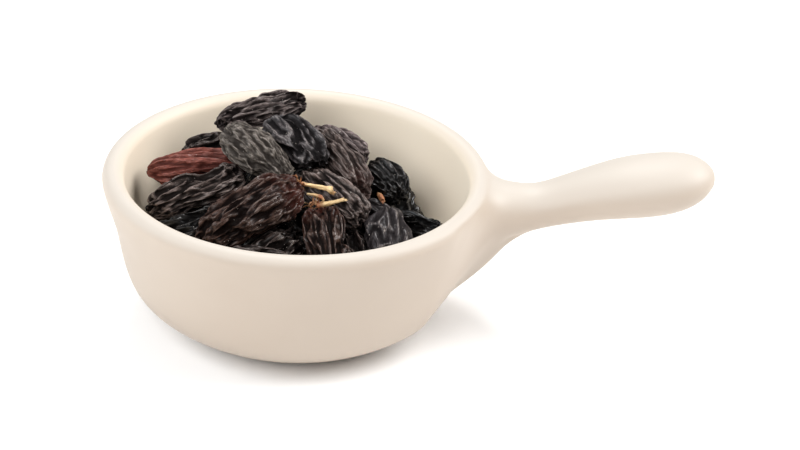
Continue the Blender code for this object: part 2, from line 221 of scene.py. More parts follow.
def handle_patch(mesh):
    """The faces of the outer wall that the handle grows out of, and the half turn that they span."""
    half_turn = HANDLE_COLUMNS * math.tau / BOWL_SEGMENTS
    patch = []
    for face in mesh.faces:
        middle = face.calc_center_median()
        outside = face.normal.dot(Vector((middle.x, middle.y, 0))) > 0
        within = HANDLE_FOOT * MM < middle.z < HANDLE_HEAD * MM
        if outside and within and abs(math.atan2(middle.y, middle.x)) < half_turn:
            patch.append(face)
    return patch, half_turn


def on_disc(across, upward, corner):
    """Where a spot of a square goes on a round face: its share of the radius, and its turn."""
    share = max(abs(across), abs(upward))
    if share == 0:
        return 0, 0
    if abs(across) >= abs(upward):
        turn = corner * upward / share
        return share, turn if across > 0 else math.pi - turn
    turn = math.pi / 2 - across / share * (math.pi / 2 - corner)
    return share, turn if upward > 0 else -turn


def handle_sections():
    """Sections of the handle. The last number is 0, and in the round end how full it still is."""
    sections = [(*section, 0) for section in curve_through(HANDLE_STATIONS, HANDLE_STEPS)]
    start, middle, half_width, up, down, _ = sections[-1]
    for turn in np.linspace(0, math.pi / 2, TIP_STEPS + 1)[1:-1]:
        size = (1 - math.sin(turn) ** TIP_POWER) ** 0.5
        sections.append((start, middle, half_width * size, up * size, down * size, size))
    return sections


def pull_handle(mesh):
    """Draw the handle out of the wall, section by section, and soften the hollows at its root."""
    patch, half_turn = handle_patch(mesh)
    across_layer = mesh.verts.layers.float.new("across")
    upward_layer = mesh.verts.layers.float.new("upward")
    # The patch is a grid, so each corner's height gives its row and its bearing gives its column
    levels = sorted({round(vert.co.z / MERGE_DISTANCE) for vert in corners_of(patch)})
    for vert in corners_of(patch):
        level = levels.index(round(vert.co.z / MERGE_DISTANCE))
        vert[across_layer] = math.atan2(vert.co.y, vert.co.x) / half_turn
        vert[upward_layer] = 2 * level / (len(levels) - 1) - 1
    corner = math.atan2(len(levels) - 1, 2 * HANDLE_COLUMNS)

    root = {
        edge for face in patch for edge in face.edges
        if any(other not in patch for other in edge.link_faces)
    }
    hollow = {vert for edge in root for vert in edge.verts}
    for x, middle, half_width, up, down, size in handle_sections():
        patch = draw_out(mesh, patch)
        for vert in corners_of(patch):
            share, turn = on_disc(vert[across_layer], vert[upward_layer], corner)
            end_x, end_middle = x, middle
            if size:
                forward = (1 - (share * size) ** 2) ** (1 / TIP_POWER)
                end_x += (HANDLE_END - x) * forward
                end_middle += TIP_RISE * forward
            y = share * half_width * math.cos(turn)
            z = end_middle + share * (up if turn > 0 else down) * math.sin(turn)
            vert.co = Vector((end_x, y, z)) * MM

    for _ in range(HOLLOW_RINGS):
        hollow |= {edge.other_vert(vert) for vert in hollow for edge in vert.link_edges}
    hollow = [vert for vert in hollow if vert.co.z < HANDLE_HEAD * MM]
    for _ in range(HOLLOW_PASSES):
        bmesh.ops.smooth_vert(
            mesh, verts=hollow, factor=HOLLOW_SHARE,
            use_axis_x=True, use_axis_y=True, use_axis_z=True,
        )


def paint_light_masks(mesh):
    """Store where the inside of the bowl is painted paler, as painted light, and how far each corner faces
    up, for a painted sheen.
    """
    inside_layer = mesh.verts.layers.float.new("inside")
    upper_layer = mesh.verts.layers.float.new("upper")
    mesh.normal_update()
    for vert in mesh.verts:
        radial = Vector((vert.co.x, vert.co.y, 0)).normalized()
        vert[upper_layer] = max(vert.normal.z, 0)
        if vert.co.z > FLOOR_HEIGHT * MM and radial.dot(vert.co) < RIM_RADIUS * MM:
            fade = min((INSIDE_LIGHT_TOP - vert.co.z / MM) / LIP_FADE, 1)
            inside = -INWARD_GAIN * vert.normal.dot(radial) * fade
            if vert.co.z < UPFACING_LIGHT_HEIGHT * MM:
                inside += vert.normal.z
            vert[inside_layer] = min(max(inside, 0), 1)


pot = bmesh.new()
profile = [pot.verts.new((radius * MM, 0, height * MM)) for radius, height in bowl_outline()]
edges = [pot.edges.new(pair) for pair in zip(profile, profile[1:])]
bmesh.ops.spin(
    pot, geom=profile + edges, cent=(0, 0, 0), axis=(0, 0, 1),
    angle=math.tau, steps=BOWL_SEGMENTS, use_merge=True,
)
bmesh.ops.remove_doubles(pot, verts=pot.verts, dist=MERGE_DISTANCE)
bmesh.ops.recalc_face_normals(pot, faces=pot.faces)
pull_handle(pot)
bmesh.ops.recalc_face_normals(pot, faces=pot.faces)
paint_light_masks(pot)

cream, wire, sockets, place = new_material("cream_glaze")
height = wire.node("SeparateXYZ", {}, {"Vector": place}, "Z")
cloud = wire.noise(place, scale=45.0, detail=2.0)
bare = 1.0 - height.between(BARE_BELOW * MM, GLAZED_ABOVE * MM)
plain_glaze = cloud.between(0.30, 0.70).mix(*PLAIN_GLAZE)
painted_inside_light = cloud.between(0.30, 0.70).mix(*PAINTED_INSIDE_LIGHT)
# Painted sheen: what faces up is painted paler and greyer, for the glaze's highlights
glaze_and_painted_light = wire.painted("upper").between(0.1, 1.3).mix(plain_glaze, PAINTED_TOP_SHEEN)
# Painted light: the inside of the bowl is painted far paler than the outside, for the light that falls into
# it
glaze_and_painted_light = wire.painted("inside").mix(glaze_and_painted_light, painted_inside_light)
bare.mix(glaze_and_painted_light, BARE_CLAY).into(sockets["Base Color"])
(0.46 + 0.06 * cloud + 0.4 * bare).into(sockets["Roughness"])
sockets["Specular IOR Level"].default_value = 0.4
ripple = wire.noise(place, scale=120.0, detail=1.0)
ripple.bump(strength=0.25, distance=0.3).into(sockets["Normal"])
bowl = add_piece("glazed_bowl", pot, cream, "cream_glaze", "bowl")
rounding = bowl.modifiers.new("rounding", "SUBSURF")
rounding.levels = 1
rounding.render_levels = 1

# The raisins: large grapes dried whole and heaped loose in the bowl. The skin keeps the size of
# the plump grape while the flesh under it shrinks, so it buckles into folds from end to end.
# A fine bloom is left on the crests, and the stalk's end turns red where the skin is thin.
JOIN_ANGLE = math.radians(80)

# With GATHER at 0 every fold would reach the ends, and with 1 fewer would do so as the girth shrinks
SOFT_RADIUS, GATHER, LEAST_GIRTH = 4.5, 0.45, 1e-6

# The seed of the noise, and how far on from the last raisin's noise each takes its own
FOLD_SEED = 3
CREASE_SHIFT = Vector((7.31, 3.17, 5.71))
DENT_SHIFT = Vector((2.3, 0.0, 1.1))
LINE_SHIFT = Vector((11.0, 5.0, 3.0))

# Dents in the flesh, the sagged stalk's end, the net of creases, and how the skin pulls and bends
DENT_SPACING, DENT_LEVEL = 7.0, 0.05
SAG_START, SAG_SPAN = 0.45, 0.4
SWAY_SPACING, CREASE_WIDTH, CREASE_WAVER = 2.6, 0.16, 0.9
PULL, STIFFNESS, KEENNESS = 2.2, 0.05, 0.8

# The colours read the lines' flow, and the relief against a skin that is evened out this often
LINE_STRETCH, EVEN_PASSES, RELIEF_RANGE = 7.0, 20, 1.0
RED_END = (0.080, 0.021, 0.014, 1)
DUST = (0.26, 0.222, 0.20, 1)
SUGAR_SPECK = (0.50, 0.45, 0.40, 1)


class Net:
    """Pairs of vertices of a mesh that hold each other."""

    def __init__(self, pairs, count):
        self.one, self.two = np.array(pairs).T
        self.ends = np.concatenate([self.one, self.two])
        self.count = count
        self.valence = np.bincount(self.ends, minlength=count)[:, None]

    def gather(self, at_one, at_two):
        """The mean, at each vertex, of vectors that its pairs give to their first and second ends."""
        values = np.concatenate([at_one, at_two])
        sums = [np.bincount(self.ends, values[:, axis], self.count) for axis in range(3)]
        return np.stack(sums, axis=1) / self.valence

    def around(self, values):
        """The mean of each vertex's neighbours."""
        return self.gather(values[self.two], values[self.one])


class Raisin:
    """The skin of one raisin: a mesh of quads over the plump body that the CAD solid gives."""

    def __init__(self, node, stalk_side, seed):
        self.seed = seed
        self.mesh = bmesh.new()
        self.mesh.from_mesh(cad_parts[node].data)
        bmesh.ops.remove_doubles(self.mesh, verts=self.mesh.verts, dist=MERGE_DISTANCE)
        # The solid is rings of corners between two poles, which are where most edges meet
        poles = sorted(self.mesh.verts, key=lambda vert: -len(vert.link_edges))[:2]
        poles.sort(key=lambda vert: vert.co.dot(Vector(stalk_side)))
        self.start, self.end = (pole.co.copy() for pole in poles)
        self.axis = (self.end - self.start).normalized()
        bmesh.ops.join_triangles(
            self.mesh, faces=self.mesh.faces,
            angle_face_threshold=JOIN_ANGLE, angle_shape_threshold=JOIN_ANGLE,
        )
        self.plump_up(poles)

    def plump_up(self, poles):
        """Fill each furrow of the CAD solid to the level of its neighbours on the same ring."""
        filled = {}
        for vert in self.mesh.verts:
            if vert in poles:
                continue
            along, outward = self.split(vert.co)
            near = [self.split(edge.other_vert(vert).co) for edge in vert.link_edges]
            near.sort(key=lambda spot: abs(spot[0] - along))
            level = (near[0][1].length + near[1][1].length) / 2
            if level > outward.length:
                filled[vert] = self.start + along * self.axis + outward * (level / outward.length)
        for vert, co in filled.items():
            vert.co = co

    def split(self, co):
        """How far a point is along the axis, and its way out from it."""
        along = (co - self.start).dot(self.axis)
        return along, co - self.start - along * self.axis

    def subdivide(self, levels):
        """Replace the mesh by its Catmull-Clark subdivision."""
        data = bpy.data.meshes.new("cage")
        self.mesh.to_mesh(data)
        cage = bpy.data.objects.new("cage", data)
        bpy.context.collection.objects.link(cage)
        rounding = cage.modifiers.new("rounding", "SUBSURF")
        rounding.levels = levels
        rounding.render_levels = levels
        scene_state = bpy.context.evaluated_depsgraph_get()
        fine = bpy.data.meshes.new_from_object(cage.evaluated_get(scene_state))
        bpy.data.objects.remove(cage)
        bpy.data.meshes.remove(data)
        self.mesh.clear()
        self.mesh.from_mesh(fine)
        bpy.data.meshes.remove(fine)
        self.mesh.normal_update()

    def points(self):
        """The places of the vertices in mm."""
        return np.array([vert.co for vert in self.mesh.verts]) / MM

    def normals(self):
        self.mesh.normal_update()
        return np.array([vert.normal for vert in self.mesh.verts])

    def move_to(self, points):
        for vert, point in zip(self.mesh.verts, points * MM):
            vert.co = point

    def flow(self, co, stretch):
        """A point's place in mm in a space that is drawn out lengthwise and gathered at the ends."""
        side = self.axis.orthogonal().normalized()
        along, outward = self.split(co)
        girth = outward.length / MM + LEAST_GIRTH
        spread = (girth / SOFT_RADIUS) ** GATHER * SOFT_RADIUS / girth / MM
        x = outward.dot(side) * spread
        y = outward.dot(self.axis.cross(side)) * spread
        return Vector((x, y, along / MM / stretch))

    def creases(self, spacing, stretch, width, waver, shift):
        """How near each vertex is to a line of a net that is drawn out lengthwise, from 0 to 1."""
        shift = CREASE_SHIFT * (self.seed + shift)
        found = []
        for vert in self.mesh.verts:
            flow = self.flow(vert.co, stretch)
            sway = noise.noise_vector(flow / (spacing * SWAY_SPACING) + shift)
            sway.z = 0
            found.append(noise.noise((flow + sway * spacing * waver) / spacing + shift))
        return np.exp(-(np.array(found) / width) ** 2)

    def droop(self, share):
        """Widen the underside near the stalk by a share of its girth, where soft flesh has sagged."""
        length = (self.end - self.start).length
        for vert in self.mesh.verts:
            along, outward = self.split(vert.co)
            fullness = min(max((along / length - SAG_START) / SAG_SPAN, 0), 1)
            below = max(0, -outward.normalized().z)
            vert.co += outward * share * below * fullness ** 2 * (3 - 2 * fullness)

    def sink(self, depth):
        """Press the skin in by a depth in mm at each vertex."""
        self.move_to(self.points() - depth[:, None] * self.normals())

    def hollow(self, depth):
        """Sink the body here and there, as flesh dries unevenly."""
        shift = DENT_SHIFT * self.seed
        value = np.array([noise.noise(vert.co / (DENT_SPACING * MM) + shift) for vert in self.mesh.verts])
        self.sink(depth * np.maximum(0, -value - DENT_LEVEL))

    def net(self, with_diagonals):
        """The edges as a net, and if asked for, both diagonals of each quad with them."""
        pairs = [[vert.index for vert in edge.verts] for edge in self.mesh.edges]
        if with_diagonals:
            for face in self.mesh.faces:
                corners = [vert.index for vert in face.verts]
                if len(corners) == 4:
                    pairs += [corners[0::2], corners[1::2]]
        return Net(pairs, len(self.mesh.verts))

    def shrivel(self, around, along, depth, rise, deepest, spacing, stretch, steps, shift):
        """Let the skin grow by these shares over its flesh until it buckles, mostly inwards."""
        points, normals = self.points(), self.normals()
        net = self.net(with_diagonals=True)
        span = points[net.two] - points[net.one]
        length = np.linalg.norm(span, axis=1)
        lengthwise = (span @ np.array(self.axis) / length) ** 2
        rest = length * (1 + around * (1 - lengthwise) + along * lengthwise)
        off = -depth * normals * self.creases(spacing, stretch, CREASE_WIDTH, CREASE_WAVER, shift)[:, None]
        for _ in range(steps):
            span = points[net.two] + off[net.two] - points[net.one] - off[net.one]
            length = np.linalg.norm(span, axis=1)
            pull = ((length - rest) / length / 2)[:, None] * span
            off += PULL * net.gather(pull, -pull)
            bend = net.around(off) - off
            off -= STIFFNESS * (net.around(bend) - bend)
            height = (off * normals).sum(axis=1)
            off += (np.clip(height, -deepest, rise) - height)[:, None] * normals
        height = (off * normals).sum(axis=1)
        reach = deepest + rise
        keen = rise - reach * np.clip((rise - height) / reach, 0, 1) ** KEENNESS
        self.move_to(points + off + (keen - height)[:, None] * normals)

    def paint(self):
        """Store how far each vertex stands out, how near the stalk it is, and its place in the flow."""
        points = self.points()
        net = self.net(with_diagonals=False)
        even = points
        for _ in range(EVEN_PASSES):
            even = net.around(even)
        relief = 0.5 + ((points - even) * self.normals()).sum(axis=1) / RELIEF_RANGE
        relief_layer = self.mesh.verts.layers.float.new("relief")
        along_layer = self.mesh.verts.layers.float.new("along")
        flow_layer = self.mesh.verts.layers.float_vector.new("flow")
        length = (self.end - self.start).length
        for vert, value in zip(self.mesh.verts, np.clip(relief, 0, 1)):
            vert[relief_layer] = value
            vert[along_layer] = min(max(self.split(vert.co)[0] / length, 0), 1)
            vert[flow_layer] = self.flow(vert.co, LINE_STRETCH) + LINE_SHIFT * self.seed


def skin(name, valley_shade, crest, bloom, shine, reddened=0.0):
    """A raisin's skin: painted near-black shade in its folds and cracks, dusty on the crests, and red near
    the stalk.
    """
    made, wire, sockets, place = new_material(name)
    relief, along = wire.painted("relief"), wire.painted("along")
    patches = wire.noise(place, scale=260.0, detail=3.0)
    dust = wire.noise(place, scale=1500.0, detail=4.0, roughness=0.65)
    threads = wire.noise(wire.painted("flow", "Vector"), scale=3.2, detail=3.0, roughness=0.55)
    # Painted shade: along the fine crease lines the colour is drawn darker, besides the bump that presses
    # them in
    cracks = 1.0 - wire.math("ABSOLUTE", threads - 0.5).between(0.0, 0.09)
    fine = 0.90 - 0.85 * cracks + 0.7 * (dust - 0.5)
    # Painted shade: where the relief is low, in the folds, the colour sinks to the near-black valley colour
    high = 0.03 + 0.85 * relief.between(0.24, 0.85) * (0.35 + 0.65 * fine)
    colour = high.mix((*valley_shade, 1), (*crest, 1))
    thin = along.between(0.66, 1.0) * patches.between(0.35, 0.60) * reddened
    colour = thin.mix(colour, RED_END)
    dusty = high.between(0.45, 1.0) * patches.between(0.40, 0.62) * bloom
    colour = dusty.mix(colour, DUST)
    speck = wire.noise(place, scale=2600.0, detail=1.0).between(0.72, 0.78) * patches.between(0.50, 0.60)
    speck.mix(colour, SUGAR_SPECK).into(sockets["Base Color"])
    (0.55 + 0.30 * dust).into(sockets["Roughness"])
    (high * shine).into(sockets["Coat Weight"])
    sockets["Coat Roughness"].default_value = 0.22
    sockets["Specular IOR Level"].default_value = 0.05
    grain = wire.noise(place, scale=2200.0, detail=3.0, roughness=0.6) + 0.8 * dust - 1.5 * cracks
    grain.bump(strength=0.8, distance=0.16).into(sockets["Normal"])
    return made


# The painted shade in the valleys, the colour on the crests, the bloom, the shine, and how red the end is
black = skin("black_skin", (0.0026, 0.0015, 0.0012), (0.069, 0.047, 0.041), 0.7, 0.65)
glossy = skin("glossy_skin", (0.0012, 0.0008, 0.0008), (0.013, 0.010, 0.009), 0.15, 1.0)
dusky = skin("dusky_skin", (0.0036, 0.0022, 0.0019), (0.231, 0.172, 0.153), 0.7, 0.7)
ashen = skin("ashen_skin", (0.0050, 0.0030, 0.0028), (0.203, 0.157, 0.147), 0.7, 0.6)
bluish = skin("bluish_skin", (0.0080, 0.0062, 0.0066), (0.060, 0.050, 0.052), 0.7, 0.6)
slate = skin("slate_skin", (0.0044, 0.0034, 0.0037), (0.152, 0.133, 0.134), 0.6, 0.7)
lilac = skin("lilac_skin", (0.0260, 0.0178, 0.0178), (0.296, 0.231, 0.221), 0.7, 0.5)
russet = skin("russet_skin", (0.0120, 0.0078, 0.0066), (0.171, 0.125, 0.112), 0.6, 0.5, 0.35)
brown = skin("brown_skin", (0.0026, 0.0010, 0.0008), (0.080, 0.041, 0.030), 0.40, 0.65, 0.85)
grey = skin("grey_skin", (0.0300, 0.0242, 0.0210), (0.224, 0.192, 0.165), 0.9, 0.35)
red = skin("red_skin", (0.0600, 0.0150, 0.0110), (0.360, 0.113, 0.085), 0.2, 0.5)

# Each raisin in its own way: how it sags, swells and dents, the spacing and stretch of its folds,
# how much the skin has grown round and along, the deepest fold, the furrows, and the finer lines
USUAL = {
    "finish": black, "slot": "dark_raisin", "stalk_side": (1, 0, 0),
    "droop": 0.0, "swell": 0.1, "hollow": 2.0,
    "spacing": 1.2, "stretch": 10.0, "around": 0.30, "along": 0.03, "deepest": 1.2,
    "furrow": 0.9, "furrow_spacing": 4.0,
    "line": 0.8, "line_stretch": 8.0, "line_around": 0.38, "line_depth": 0.40, "line_deepest": 0.8,
}
WAYS = {
    "raisin_01_top": {"finish": ashen, "spacing": 1.5, "around": 0.25, "hollow": 1.5},
    "raisin_02_grey": {
        "finish": grey, "slot": "grey_raisin", "spacing": 1.0, "stretch": 6.0, "around": 0.16,
        "along": 0.05, "line": 0.55, "line_stretch": 6.0, "line_around": 0.36, "furrow": 0.4,
    },
    "raisin_03_red": {
        "finish": red, "slot": "red_raisin", "swell": 0.3, "spacing": 2.8, "stretch": 5.0, "deepest": 0.8,
        "around": 0.2, "furrow": 0.6, "line_around": 0.12, "line_depth": 0.2,
    },
    "raisin_04_back_left": {"spacing": 1.5},
    "raisin_05_left": {"finish": dusky, "line": 0.7},
    "raisin_06_front_left": {"finish": glossy, "spacing": 1.5},
    "raisin_07_big": {
        "finish": brown, "droop": 0.4, "spacing": 0.85, "stretch": 14.0, "around": 0.20,
        "furrow": 1.1, "furrow_spacing": 5.0, "line": 0.55, "line_stretch": 12.0,
    },
    "raisin_09_stalked": {"finish": brown, "stretch": 14.0, "stalk_side": (0, 1, 0), "line_stretch": 14.0},
    "raisin_10_low_front": {"stretch": 14.0, "stalk_side": (0, 1, 0)},
    "raisin_11_middle": {
        "finish": dusky, "swell": 0.5, "furrow": 0.5, "hollow": 1.0, "around": 0.20, "deepest": 0.9,
        "line": 0.65, "line_around": 0.30, "line_depth": 0.30,
    },
    "raisin_12_blunt": {
        "finish": bluish, "spacing": 3.0, "stretch": 3.0, "around": 0.12, "along": 0.08, "deepest": 0.6,
        "furrow": 0.3, "line_around": 0.08, "line_depth": 0.10, "line_stretch": 3.0, "line_deepest": 0.3,
    },
    "raisin_13_right_end": {"finish": glossy, "spacing": 2.2, "stretch": 6.0},
    "raisin_14_right": {
        "finish": glossy, "hollow": 1.0, "furrow": 0.3, "spacing": 1.5, "stretch": 14.0, "around": 0.2,
        "deepest": 0.8, "line_around": 0.22, "line_depth": 0.25, "line_stretch": 12.0,
    },
    "raisin_15_back_right": {
        "finish": lilac, "spacing": 1.0, "around": 0.18, "deepest": 0.8, "furrow": 0.6,
        "line": 0.6, "line_around": 0.30, "line_depth": 0.25, "line_deepest": 0.5,
    },
    "raisin_16_long": {
        "finish": slate, "swell": 0.4, "hollow": 1.0, "spacing": 2.4, "around": 0.25, "deepest": 1.5,
        "furrow": 1.2, "furrow_spacing": 3.5, "line": 0.6, "line_around": 0.18, "line_depth": 0.18,
    },
    "raisin_17_brown": {
        "finish": russet, "spacing": 1.0, "stretch": 14.0, "around": 0.18, "deepest": 0.8, "furrow": 0.6,
        "line": 0.6, "line_stretch": 12.0, "line_around": 0.30, "line_depth": 0.25, "line_deepest": 0.5,
    },
    "raisin_18_low_right": {"finish": bluish},
}
# The buried raisins take the darkest skin, as painted shade, so that what shows of them between the others
# reads as shadow
BURIED_WAY = {"finish": glossy, "spacing": 1.8, "line": 1.0, "swell": 0.4}

# What all raisins share: how the furrows lie, how the folds start and rise, and how the lines grow
FURROWS = {"stretch": 4.0, "width": 0.22, "waver": 0.5, "shift": 0.3}
FOLD_START, FOLD_RISE, FOLD_STEPS = 0.6, 0.6, 80
LINE_GROWTH, LINE_RISE, LINE_STEPS, LINES_APART = 0.03, 0.4, 60, 0.5

noise.seed_set(FOLD_SEED)
raisin_nodes = sorted(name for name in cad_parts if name.startswith("raisin"))
for seed, node in enumerate(raisin_nodes, 1):
    way = {**USUAL, **(BURIED_WAY if "buried" in node else WAYS.get(node, {}))}
    raisin = Raisin(node, way["stalk_side"], seed)
    raisin.subdivide(2)
    raisin.droop(way["droop"])
    raisin.sink(np.full(len(raisin.mesh.verts), -way["swell"]))
    raisin.hollow(way["hollow"])
    raisin.sink(way["furrow"] * raisin.creases(way["furrow_spacing"], **FURROWS))
    raisin.shrivel(
        around=way["around"], along=way["along"], spacing=way["spacing"], stretch=way["stretch"],
        depth=FOLD_START * min(1, way["deepest"]), deepest=way["deepest"], rise=FOLD_RISE,
        steps=FOLD_STEPS, shift=0,
    )
    raisin.subdivide(1)
    raisin.shrivel(
        around=way["line_around"], along=LINE_GROWTH, spacing=way["line"], stretch=way["line_stretch"],
        depth=way["line_depth"], deepest=way["line_deepest"], rise=LINE_RISE,
        steps=LINE_STEPS, shift=LINES_APART,
    )
    raisin.paint()
    add_piece(node + "_skin", raisin.mesh, way["finish"], way["slot"], node)

# The dry stalks: stiff woody fibres, pale where they snapped off and rusty where they hold the
# fruit. Two raisins still have the torn, curled rest of the calyx that sat round the grape's neck.
STALK_SIDES, STALK_STEPS = 16, 7
STALKS = {
    # points of the middle line from the raisin outwards, with the radius and the rust at each
    "stalk_long": (
        (1.3, -8.4, 34.4, 0.44, 0.70), (2.4, -8.4, 34.25, 0.40, 0.25), (4.4, -8.35, 33.9, 0.42, 0.0),
        (6.5, -8.15, 33.45, 0.48, 0.15), (7.3, -8.05, 33.25, 0.78, 0.05), (7.9, -8.0, 33.1, 0.80, 0.25),
    ),
    "stalk_twig": (
        (2.6, -9.7, 32.7, 0.20, 0.20), (4.3, -9.7, 32.55, 0.30, 0.35), (5.5, -9.75, 32.2, 0.42, 0.85),
        (6.05, -9.9, 31.8, 0.26, 0.50), (6.2, -10.0, 31.2, 0.15, 0.10),
    ),
    "stalk_crown": (
        (5.0, -10.05, 30.1, 0.66, 0.95), (6.4, -9.9, 30.55, 0.60, 0.35), (7.6, -9.75, 30.9, 0.46, 0.0),
        (9.4, -9.55, 31.4, 0.38, 0.0), (10.7, -9.35, 31.8, 0.44, 0.0),
    ),
    "stalk_stub": (
        (17.4, 4.5, 26.5, 0.24, 0.45), (17.8, 3.4, 26.6, 0.50, 0.60), (18.2, 2.2, 26.6, 0.62, 0.75),
        (18.7, 0.8, 26.5, 0.42, 0.60),
    ),
}
CALYXES = {
    # where its middle is, which way it faces, how many torn lobes it has and how long they are
    "stalk_long": ((0.7, -8.5, 34.4), (0.75, 0.56, 0.34), 9, 1.6),
    "stalk_crown": ((4.5, -10.2, 30.0), (-0.22, 0.82, 0.52), 17, 2.2),
}

# The fibres round the stalk and along it, the knots along it, and how far both stand out of it
FIBRE_FINENESS, FIBRE_LENGTH, KNOT_LENGTH = 2.2, 3.0, 0.8
FIBRE_SHIFT, KNOT_SHIFT = 9.1, 5.3
FLUTING, KNOTTING = 0.45, 0.25

# Its snapped end: what fibres, knots and the slant of the break add, and the hollow in its middle
FIBRE_TEAR, KNOT_TEAR, SLANT_TEAR = 0.9, 0.5, 0.4
HOLLOW_SIZE, HOLLOW_DEPTH, HOLLOW_RUST = 0.5, 0.35, 0.4

# The least and the most of each trait of a lobe, in the order in which they are drawn
CALYX_SEED = 4
LOBE_TRAITS = {
    "turn": (-0.4, 0.4), "reach": (0.5, 1.1), "width": (0.25, 0.6), "flare": (0.1, 1.0),
    "curl": (-0.6, 2.2), "twist": (-0.8, 0.8), "rust": (0.35, 1.0), "crumple": (0, 9),
}
LOBE_COLUMNS, LOBE_ROWS, LOBE_THICKNESS, LOBE_TAPER = 3, 8, 0.12, 1.2
NECK_RADIUS, LOBE_RISE, LOBE_FIBRE = 0.8, 0.1, 3
CRUMPLE_DEPTH, CRUMPLES_ACROSS, CRUMPLES_ALONG = 0.35, 2, 3

PALE_FIBRES = ((0.40, 0.200, 0.060, 1), (0.84, 0.640, 0.350, 1))
RUSTY_FIBRES = ((0.085, 0.024, 0.011, 1), (0.50, 0.190, 0.070, 1))


def frame_along(ahead):
    """Two directions that stand square to this one."""
    side = ahead.cross(Vector((0, 0, 1))).normalized()
    return side, side.cross(ahead)


def stalk(knots, seed):
    """A round face drawn out along the stalk's line, fluted by its fibres and torn at the end."""
    mesh = bmesh.new()
    turn_layer = mesh.verts.layers.float.new("turn")
    length_layer = mesh.verts.layers.float.new("length")
    rust_layer = mesh.verts.layers.float.new("rust")
    bmesh.ops.create_circle(mesh, cap_ends=True, segments=STALK_SIDES, radius=1)
    for vert in mesh.verts:
        vert[turn_layer] = math.atan2(vert.co.y, vert.co.x)
    stations = [station.tolist() for station in curve_through(knots, STALK_STEPS)]
    # A smaller ring at the end's own place is pushed back in, as the hollow of the break
    x, y, z, radius, rust = stations[-1]
    stations.append([x, y, z, HOLLOW_SIZE * radius, rust + HOLLOW_RUST])
    faces = list(mesh.faces)
    travelled = 0
    for index, (*spot, radius, rust) in enumerate(stations):
        hollow = index == len(stations) - 1
        torn = index >= len(stations) - 2
        behind = Vector(stations[max(index - 1, 0)][:3])
        if not hollow:
            ahead = (Vector(stations[min(index + 1, len(stations) - 2)][:3]) - behind).normalized()
        side, upward = frame_along(ahead)
        travelled += (Vector(spot) - behind).length
        if index:
            faces = draw_out(mesh, faces)
        for vert in corners_of(faces):
            turn = vert[turn_layer]
            around = Vector((math.cos(turn), math.sin(turn), 0))
            fibre_spot = Vector((0, 0, travelled / FIBRE_LENGTH + seed * FIBRE_SHIFT))
            fibre = noise.noise(around * FIBRE_FINENESS + fibre_spot)
            knot = noise.noise(around + Vector((0, 0, travelled / KNOT_LENGTH + seed * KNOT_SHIFT)))
            across = radius * (1 + FLUTING * fibre + KNOTTING * knot)
            tear = 0
            if torn:
                tear = FIBRE_TEAR * fibre + KNOT_TEAR * knot - SLANT_TEAR * math.sin(turn)
            if hollow:
                tear -= HOLLOW_DEPTH
            off = across * (math.cos(turn) * side + math.sin(turn) * upward) + tear * ahead
            vert.co = (Vector(spot) + off) * MM
            vert[length_layer] = travelled
            vert[rust_layer] = rust
    return mesh


def add_calyx(mesh, middle, ahead, count, length, draw):
    """Torn lobes in a ring, each a narrow strip of dry skin that curls on its way out."""
    layers = mesh.verts.layers.float
    turn_layer, length_layer, rust_layer = layers["turn"], layers["length"], layers["rust"]
    ahead = Vector(ahead).normalized()
    side, upward = frame_along(ahead)
    for number in range(count):
        lobe = {trait: draw.uniform(*limits) for trait, limits in LOBE_TRAITS.items()}
        bearing = math.tau * (number + lobe["turn"]) / count
        outward = math.cos(bearing) * side + math.sin(bearing) * upward
        across = outward.cross(ahead)
        reach = length * lobe["reach"]
        strip = bmesh.ops.create_grid(mesh, x_segments=LOBE_COLUMNS, y_segments=LOBE_ROWS, size=0.5)["verts"]
        for vert in strip:
            share = vert.co.y + 0.5
            bend = lobe["flare"] + lobe["curl"] * share
            spread = lobe["width"] * vert.co.x * (LOBE_TAPER - share) + lobe["twist"] * share * share
            crumple_spot = Vector((vert.co.x * CRUMPLES_ACROSS, share * CRUMPLES_ALONG, lobe["crumple"]))
            crumple = CRUMPLE_DEPTH * noise.noise(crumple_spot)
            rise = LOBE_RISE + reach * share * math.cos(bend) + crumple
            out = NECK_RADIUS + reach * share * math.sin(bend)
            vert.co = (Vector(middle) + ahead * rise + outward * out + across * spread) * MM
            vert[turn_layer] = bearing
            vert[length_layer] = LOBE_FIBRE * share
            vert[rust_layer] = lobe["rust"]
        faces = list({face for vert in strip for face in vert.link_faces})
        bmesh.ops.solidify(mesh, geom=faces, thickness=LOBE_THICKNESS * MM)


straw, wire, sockets, place = new_material("dry_straw")
turn, run = wire.painted("turn"), wire.painted("length")
round_and_along = {"X": wire.math("COSINE", turn), "Y": wire.math("SINE", turn), "Z": 0.12 * run}
strand = wire.node("CombineXYZ", {}, round_and_along)
fibres = wire.noise(strand, scale=6.0, detail=4.0, roughness=0.7)
stain = wire.noise(place, scale=900.0, detail=3.0)
pale = fibres.between(0.32, 0.62).mix(*PALE_FIBRES)
rusty = fibres.between(0.30, 0.70).mix(*RUSTY_FIBRES)
colour = (wire.painted("rust") + 0.8 * stain - 0.4).between(0.10, 0.80).mix(pale, rusty)
colour.into(sockets["Base Color"])
(0.45 + 0.30 * fibres).into(sockets["Roughness"])
fibres.bump(strength=0.8, distance=0.08).into(sockets["Normal"])

draw = np.random.default_rng(CALYX_SEED)
for seed, (node, knots) in enumerate(STALKS.items()):
    mesh = stalk(knots, seed)
    if node in CALYXES:
        add_calyx(mesh, *CALYXES[node], draw)
    bmesh.ops.recalc_face_normals(mesh, faces=mesh.faces)
    add_piece(node + "_straw", mesh, straw, "dry_stalk", node)

